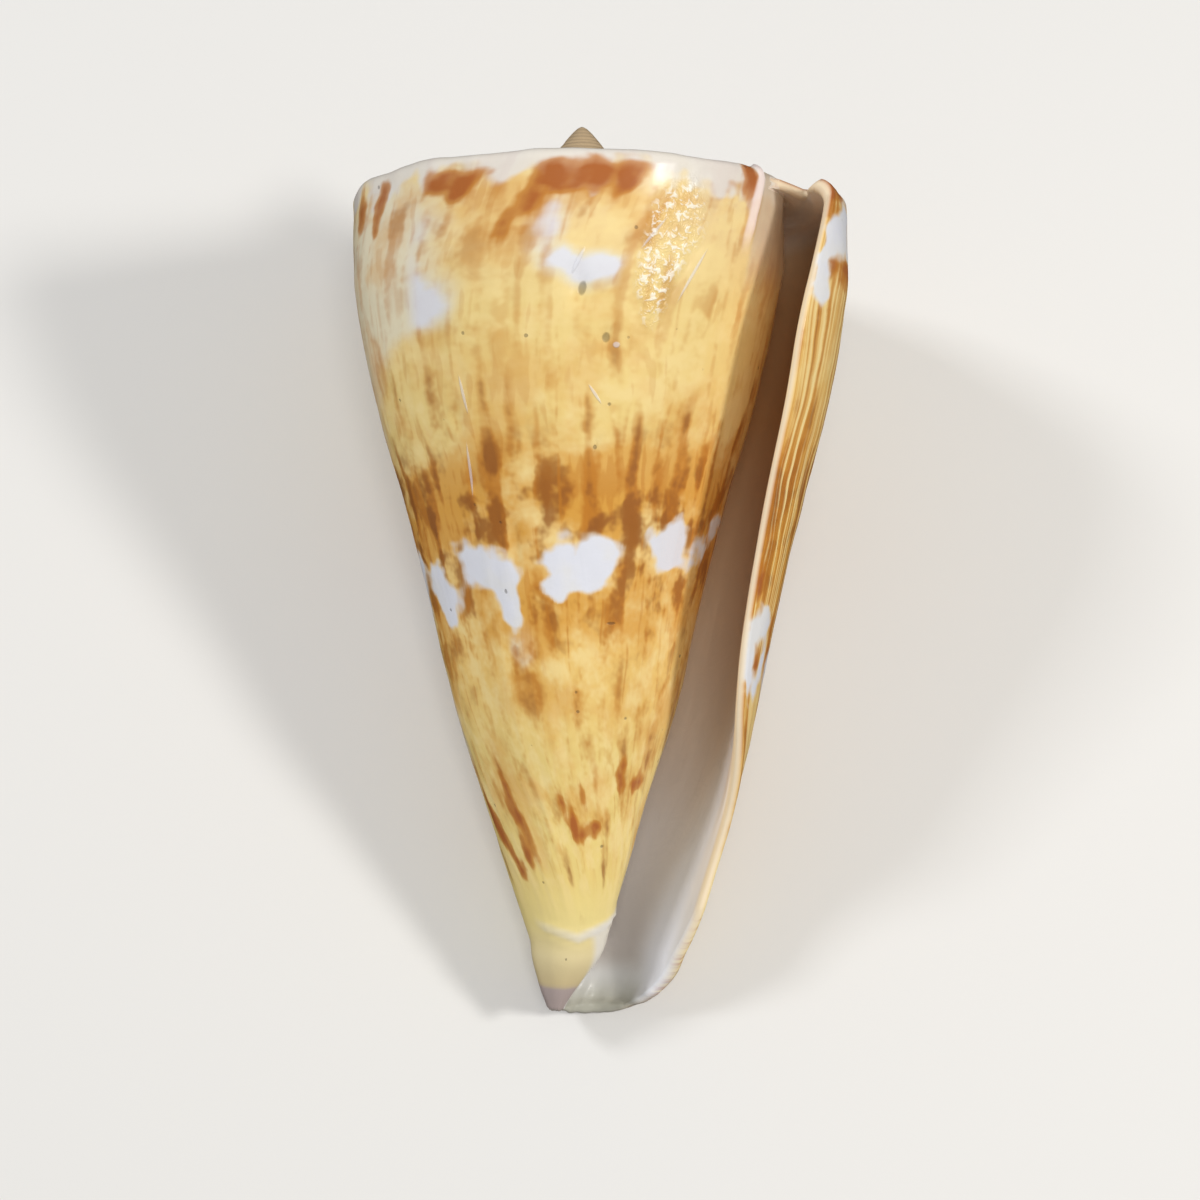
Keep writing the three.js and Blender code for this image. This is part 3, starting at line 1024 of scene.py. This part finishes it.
def growth_scars(paint, turns, height, colour):
    """The pale V of old growth scars, and the old white below it, beside the opening."""
    v_line = height - abs(turns - V_MIDDLE) * V_SLOPE - V_SCARS[0][0]
    scar = paint.step(abs(v_line), 0.1, 0.8, 0.6, 0.0) * paint.step(turns, 0.66, 0.86, 0.4, 1.0)
    scar = scar * paint.step(turns, *V_START) * paint.step(turns, *V_END, 1.0, 0.0)
    colour = paint.mix(scar, colour, WHITE)
    beyond = paint.step(turns + height * 0.015, 0.92, 0.98)
    return paint.mix(beyond * paint.step(v_line, -0.5, 0.5, 0.8, 0.0), colour, OLD_WHITE)


def inner_wall_colours(paint, turns, height):
    """The glazed inner wall: a painted lit band near the lip and painted shade further in, low down."""
    # The wall's colour up its height; its warm brown is painted light shining through the patterned
    # wall.
    wall = paint.by_height(height, INNER_WALL)
    # Near the lip, a painted lit band where light falls on the inner wall; by the pillar's foot, the
    # wall's own pale blue-white.
    lit_band_and_pearl = paint.step(turns, 0.02, 0.06) * paint.step(turns, 0.08, 0.14, 1.0, 0.0)
    lit_band_and_pearl = lit_band_and_pearl + paint.step(turns, 0.94, 0.98) * paint.step(height, 6.0, 10.0, 1.0, 0.0)
    low_down = paint.step(height, 22.0, 44.0, 1.0, 0.0)
    wall = paint.mix(lit_band_and_pearl * low_down * 0.8, wall, BLUISH)
    # Further in and low down, painted shade: the wall is darkened there for the shade that falls deep
    # in the opening.
    deep_shade = paint.step(turns, 0.09, 0.16) * paint.step(turns, 0.92, 0.96, 1.0, 0.0)
    darkened = paint.step(height, 6.0, 16.0, 0.42, 0.22) * paint.step(height, 2.5, 5.0)
    wall = paint.mix(deep_shade * low_down * darkened, wall, THREAD_AND_SHADE)
    beside_lip = paint.step(turns, 0.0, 0.010, 1.0, 0.0) * paint.step(height, 6.0, 14.0)
    return paint.mix(beside_lip, wall, LIP_CREAM)


def glaze_colours(paint, turns, height, colour):
    """The callus ridge, glaze, scars, inner wall, lip's edge and spire tip over the pattern."""
    ridge = paint.step(abs(turns - CALLUS_LINE), 0.003, 0.007, 0.8, 0.0)
    colour = paint.mix(ridge * paint.step(height, *CALLUS_LINE_START), colour, CALLUS)
    covered = paint.step(turns, 0.984, 0.992) * paint.step(height, 69.0, 76.0)
    colour = paint.mix(covered * paint.step(turns, 1.3, 1.4, 0.85, 0.0), colour, GLAZE)
    colour = growth_scars(paint, turns, height, colour)
    colour = paint.mix(paint.fact("inside"), colour, inner_wall_colours(paint, turns, height))
    lip_edge = paint.fact("edge") * paint.step(height, 4.0, 12.0)
    colour = paint.mix(lip_edge, colour, LIP_CREAM)
    threads = paint.step(paint.math("SINE", height * SPIRE_THREADS), -0.2, 0.8)
    tip = paint.mix(threads * 0.5, BEIGE, THREAD_AND_SHADE)
    return paint.mix(paint.step(height, *SPIRE_TIP_START), colour, tip)


def oval(paint, turns, height, middle, level, half_turns, half_height, lean=0):
    """A share that is 1 inside an upright oval on the shell and 0 outside it."""
    up = (height - level) * (1 / half_height)
    across = (turns - middle - (height - level) * lean) * (1 / half_turns)
    return paint.step(across * across + up * up, 0.3, 1.1, 1.0, 0.0)


def pits_and_chips(paint, growth):
    """Tiny pits in places, and the chips, on the outside only: hollows for the bump, and where shade is
    painted.
    """
    spots = paint.node("ShaderNodeTexVoronoi", {}, {"Vector": paint.place(), "Scale": 300.0})
    pits = paint.step(spots, 0.03, 0.07, 1.0, 0.0) * paint.step(growth.mottle, 0.46, 0.48)
    chips = sum((oval(paint, growth.turns, growth.height, *chip) for chip in CHIPS), pits)
    return chips * paint.step(paint.fact("inside"), 0.2, 0.5, 1.0, 0.0)


def shell_paint():
    """The glossy outside with its streaks and blotches, and the plain glazed inside."""
    paint = Paint("cone_shell_gloss")
    growth = Growth(paint)
    turns, height = growth.turns, growth.height
    colour = glaze_colours(paint, turns, height, growth_colours(paint, growth))
    scratches = sum(oval(paint, turns, height, *scratch) for scratch in SCRATCHES)
    colour = paint.mix(scratches * 0.45, colour, WHITE)
    chips = pits_and_chips(paint, growth)
    # Painted shade in the pits and chips.
    colour = paint.mix(chips * 0.5, colour, HOLLOW_SHADE)
    worn = paint.step(paint.fact("worn"), 0.2, 0.7)
    sparkle = paint.noise(paint.place(), 2.0, 0.6, 0.5, scale=1500.0)
    # Painted glints: pale flecks where the rough patch sparkles in the light.
    colour = paint.mix(worn * paint.step(sparkle, 0.50, 0.64) * 0.7, colour, PAINTED_GLINT)
    paint.set_socket(paint.surface, "Base Color", colour)

    roughness = paint.step(growth.cloud, 0.3, 0.7, 0.30, 0.42) - worn * 0.18
    paint.set_socket(paint.surface, "Roughness", roughness)
    paint.set_socket(paint.surface, "Coat Weight", 0.1 - worn * 0.1)
    paint.surface.inputs["Coat Roughness"].default_value = 0.12
    lengthwise = (growth.strokes * 0.4 + growth.wisps * 0.2) * paint.step(height, 8.0, 22.0)
    ripple = paint.noise(paint.place(), 3.0, 0.5, 0.6, scale=330.0)
    grain = lengthwise - chips * 0.9 + scratches * 0.9 + worn * sparkle * 4.0 + ripple * 0.5
    bump = paint.node("ShaderNodeBump", {}, {"Strength": 0.35, "Distance": 0.0004, "Height": grain})
    paint.set_socket(paint.surface, "Normal", bump)
    return paint.material


shell_data.materials.append(shell_paint())


# Half the floor's width, in metres.
FLOOR_REACH = 1.5


def pale_floor():
    mesh = bmesh.new()
    bmesh.ops.create_grid(mesh, x_segments=1, y_segments=1, size=FLOOR_REACH)
    data = bpy.data.meshes.new("floor")
    mesh.to_mesh(data)
    mesh.free()
    floor = bpy.data.objects.new("floor", data)
    bpy.context.scene.collection.objects.link(floor)
    material = bpy.data.materials.new("pale_floor")
    material.use_nodes = True
    surface = material.node_tree.nodes["Principled BSDF"]
    surface.inputs["Base Color"].default_value = (0.72, 0.71, 0.69, 1)
    surface.inputs["Roughness"].default_value = 0.8
    data.materials.append(material)
    floor.visible_glossy = False


pale_floor()


# The camera's place beside the standing shell and the point that the lights face, in mm.
CAMERA_SPOT = (1.8, -210, 41.2)
SHELL_MIDDLE = (0, 0, 42)
LENS = 63
SENSOR_WIDTH = 36


def add_camera():
    """Looks down on the shell square to its coiling axis."""
    data = bpy.data.cameras.new("camera")
    data.lens = LENS
    data.sensor_width = SENSOR_WIDTH
    camera = bpy.data.objects.new("camera", data)
    bpy.context.scene.collection.objects.link(camera)
    facing = LAID @ Matrix.Rotation(math.radians(90), 4, "X")
    camera.matrix_world = Matrix.Translation(RESTING @ Vector(CAMERA_SPOT)) @ facing
    bpy.context.scene.camera = camera


def add_light(name, direction, distance, size, power, colour, mirrored=False):
    """A soft light, standing off in a direction of the standing shell and facing it."""
    data = bpy.data.lights.new(name, "AREA")
    data.shape = "RECTANGLE"
    data.size, data.size_y = size
    data.energy = power
    data.color = colour
    light = bpy.data.objects.new(name, data)
    light.visible_glossy = mirrored
    bpy.context.scene.collection.objects.link(light)
    centre = RESTING @ Vector(SHELL_MIDDLE)
    towards = (LAID.to_3x3() @ Vector(direction)).normalized()
    turned = towards.to_track_quat("Z", "Y").to_matrix().to_4x4()
    light.matrix_world = Matrix.Translation(centre + towards * distance) @ turned


def add_surroundings(colour, strength):
    world = bpy.data.worlds.new("surroundings")
    bpy.context.scene.world = world
    world.use_nodes = True
    background = world.node_tree.nodes["Background"]
    background.inputs["Color"].default_value = (*colour, 1)
    background.inputs["Strength"].default_value = strength
    world.cycles_visibility.glossy = False


add_camera()
add_light("key_light", (0.77, -0.64, 0.12), 0.6, (0.09, 0.09), 1.15, (1, 0.98, 0.95))
add_light("glint_light", (0.77, -0.64, 0.10), 0.6, (0.12, 0.05), 0.8, (1, 0.99, 0.96), mirrored=True)
add_light("front_light", (0.06, -1, 0.06), 0.7, (0.22, 0.22), 1.5, (1, 0.98, 0.95))
add_light("side_light", (-0.62, -0.62, 0.48), 0.6, (0.12, 0.12), 1.4, (0.95, 0.97, 1))
add_surroundings((1, 1, 1), 0.32)
bpy.context.scene.view_settings.view_transform = "Standard"
